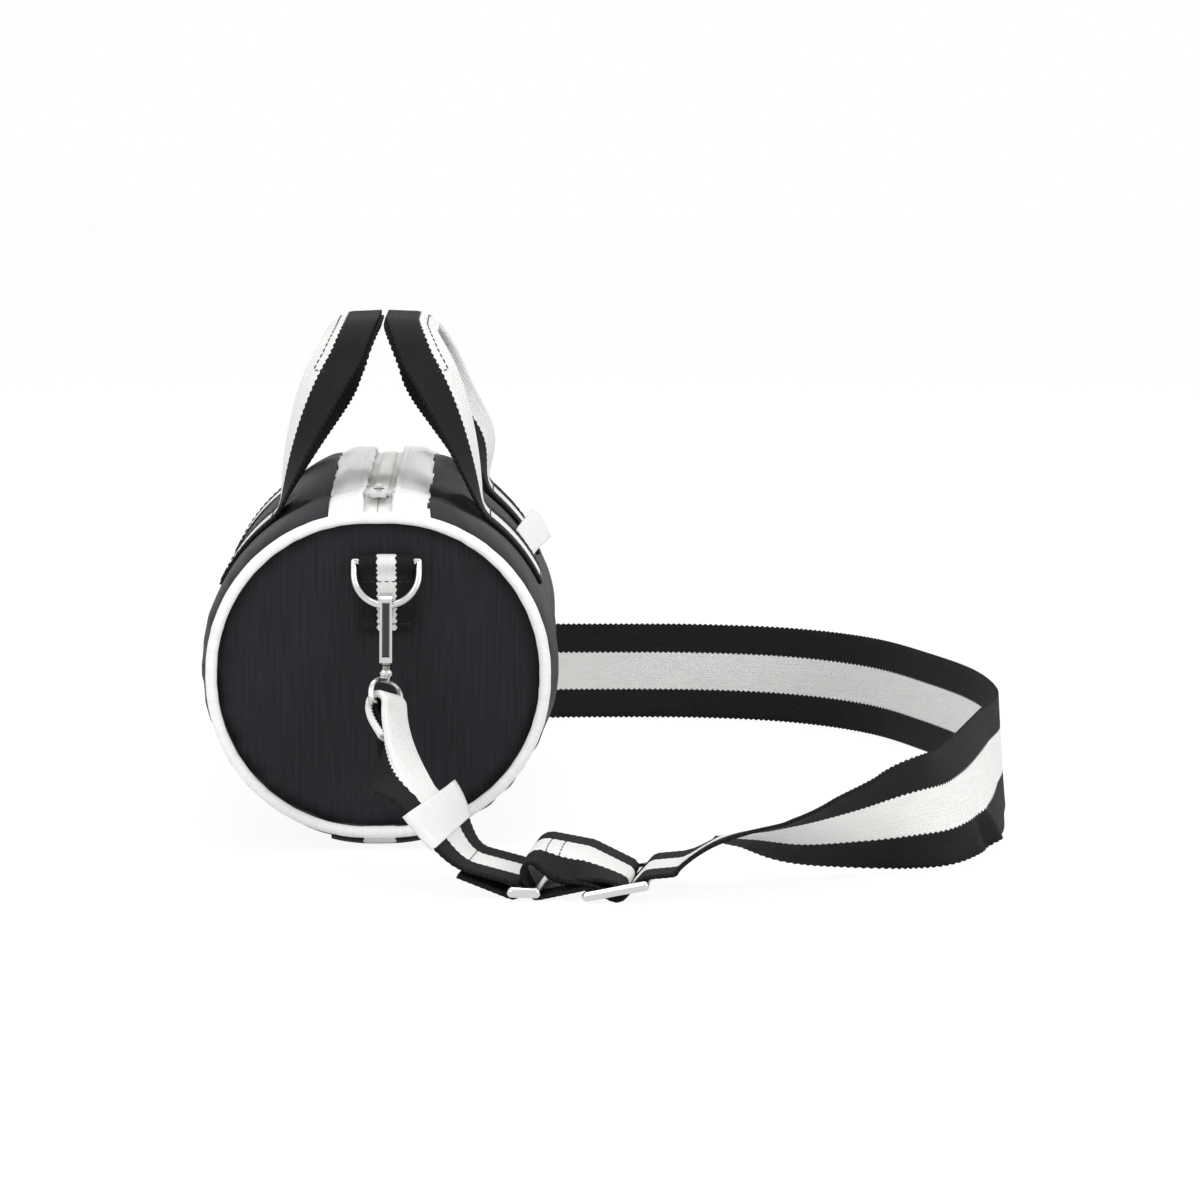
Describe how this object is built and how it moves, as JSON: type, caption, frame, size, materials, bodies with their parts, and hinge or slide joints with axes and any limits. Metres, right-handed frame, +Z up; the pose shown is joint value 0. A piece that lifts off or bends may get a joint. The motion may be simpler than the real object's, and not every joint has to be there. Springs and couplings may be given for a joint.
{
  "type": "barrel bag",
  "caption": "Small barrel-shaped cloth bag with a zipped top, webbing carry handles that fold down, and a shoulder strap on swivelling snap hooks, its loop laid beside the bag",
  "frame": {"origin": "on the floor under the middle of the barrel, on the underside of the lengthwise webbing", "axes": "X to the right of the near end, Y along the barrel away from the near end, Z up"},
  "size_m": [0.3731, 0.4713, 0.2321],
  "materials": {
    "nylon_black": "coated woven nylon, charcoal black, faint vertical streaks",
    "binding_black": "folded woven tape over the inside seam",
    "piping_white": "white bias-cut cloth round a cord",
    "nylon_white": "white coated woven nylon",
    "zip_tape_cream": "woven zip tape",
    "zip_coil_cream": "nylon zip coil",
    "nickel": "polished nickel plate",
    "steel": "drawn spring steel",
    "webbing_striped": "woven webbing with a wide white stripe between black borders",
    "base_webbing_striped": "woven webbing, black with a white middle stripe",
    "tab_webbing_striped": "narrow woven webbing, black with a white middle stripe",
    "label_white": "plain white woven label, blank"
  },
  "bodies": {
    "bag": {"base_webbing": "base_webbing_striped", "body_panel": "nylon_black", "far_d_ring_tab": "tab_webbing_striped", "far_end_panel": "nylon_black", "far_piping": "piping_white", "far_seam_binding": "binding_black", "left_handle_far_end": "webbing_striped", "left_handle_near_end": "webbing_striped", "long_strap": "webbing_striped", "near_d_ring_tab": "tab_webbing_striped", "near_end_panel": "nylon_black", "near_piping": "piping_white", "near_seam_binding": "binding_black", "right_handle_far_end": "webbing_striped", "right_handle_near_end": "webbing_striped", "short_strap": "webbing_striped", "side_label": "label_white", "strap_adjuster": "nickel", "strap_label": "label_white", "strap_ring": "nickel", "zip_bottom_stop": "nickel", "zip_panel_left": "nylon_white", "zip_panel_right": "nylon_white", "zip_tape_left": "zip_tape_cream", "zip_tape_right": "zip_tape_cream", "zip_teeth_left": "zip_coil_cream", "zip_teeth_right": "zip_coil_cream", "zip_top_stops": "nickel"},
    "zip_slider": {"zip_slider": "nickel"},
    "zip_pull": {"zip_pull": "nickel"},
    "left_handle": {"left_handle": "webbing_striped"},
    "right_handle": {"right_handle": "webbing_striped"},
    "near_clip": {"near_d_ring": "nickel", "near_swivel_eye": "nickel"},
    "near_hook": {"near_hook": "nickel", "near_gate_pin": "steel", "near_gate_spring": "steel"},
    "near_gate": {"near_hook_gate": "nickel"},
    "far_clip": {"far_d_ring": "nickel", "far_swivel_eye": "nickel"},
    "far_hook": {"far_hook": "nickel", "far_gate_pin": "steel", "far_gate_spring": "steel"},
    "far_gate": {"far_hook_gate": "nickel"}
  },
  "joints": [
    {"name": "zip_slide", "type": "slide", "parent": "bag", "child": "zip_slider", "axis": [0, 1, 0], "range_m": [0, 0.1824], "deforming": ["zip_teeth_left", "zip_teeth_right"]},
    {"name": "zip_pull_flip", "type": "hinge", "parent": "zip_slider", "child": "zip_pull", "pos_m": [0, -0.0897, 0.159], "axis": [-1, 0, 0], "range_deg": [0, 150]},
    {"name": "left_handle_fold", "type": "hinge", "parent": "bag", "child": "left_handle", "pos_m": [-0.04566, 0, 0.14803], "axis": [0, -1, 0], "range_deg": [0, 112]},
    {"name": "right_handle_fold", "type": "hinge", "parent": "bag", "child": "right_handle", "pos_m": [0.04566, 0, 0.14803], "axis": [0, 1, 0], "range_deg": [0, 112]},
    {"name": "near_clip_swing", "type": "hinge", "parent": "bag", "child": "near_clip", "pos_m": [0.004, -0.12595, 0.131], "axis": [-1, 0, 0], "range_deg": [0, 55], "deforming": ["short_strap", "strap_label"]},
    {"name": "near_hook_swivel", "type": "hinge", "parent": "near_clip", "child": "near_hook", "pos_m": [0.004, -0.14209, 0.08665], "axis": [0, 0.342, 0.9397], "range_deg": [-18, 18]},
    {"name": "near_gate_open", "type": "hinge", "parent": "near_hook", "child": "near_gate", "pos_m": [0.004, -0.13568, 0.08921], "axis": [1, 0, 0], "range_deg": [0, 15], "stiffness_Nm_per_rad": 0.003, "springref_deg": -20.05, "deforming": ["near_gate_spring"]},
    {"name": "far_clip_swing", "type": "hinge", "parent": "bag", "child": "far_clip", "pos_m": [-0.004, 0.12595, 0.131], "axis": [1, 0, 0], "range_deg": [0, 55], "deforming": ["long_strap"]},
    {"name": "far_hook_swivel", "type": "hinge", "parent": "far_clip", "child": "far_hook", "pos_m": [-0.004, 0.14209, 0.08665], "axis": [0, -0.342, 0.9397], "range_deg": [-18, 18]},
    {"name": "far_gate_open", "type": "hinge", "parent": "far_hook", "child": "far_gate", "pos_m": [-0.004, 0.13568, 0.08921], "axis": [-1, 0, 0], "range_deg": [0, 15], "stiffness_Nm_per_rad": 0.003, "springref_deg": -20.05, "deforming": ["far_gate_spring"]}
  ]
}
